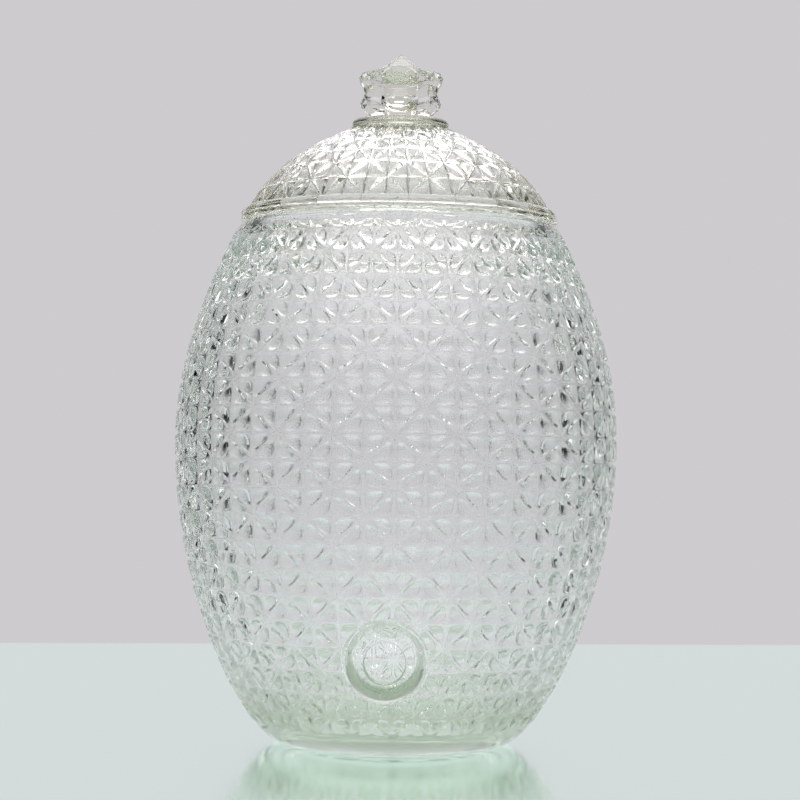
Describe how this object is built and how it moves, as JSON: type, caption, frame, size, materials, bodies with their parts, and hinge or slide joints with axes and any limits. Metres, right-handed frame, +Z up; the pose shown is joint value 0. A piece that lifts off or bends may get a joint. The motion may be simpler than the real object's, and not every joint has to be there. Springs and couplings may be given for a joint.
{
  "type": "glass beverage dispenser",
  "caption": "Egg-shaped glass drink dispenser jar with a bare tap hole low on its front and a loose domed lid with a leaf finial.",
  "frame": {"origin": "centre of the foot, on the surface that the jar stands on", "axes": "+Z up along the jar's axis, through the mouth and the finial; -Y out of the tap hole, which is the front; +X to the right seen from the front"},
  "size_m": [0.2196, 0.2196, 0.3435],
  "materials": {
    "jar_glass": "clear soda-lime glass, faint green, moulded relief, fire-polished",
    "lid_glass": "clear soda-lime glass, faint olive, pressed relief, fire-polished"
  },
  "bodies": {
    "jar": {"jar": "jar_glass"},
    "lid": {"lid": "lid_glass"}
  },
  "joints": [
    {"name": "lid_lift", "type": "slide", "parent": "jar", "child": "lid", "axis": [0, 0, 1], "range_m": [0, 0.12]}
  ]
}
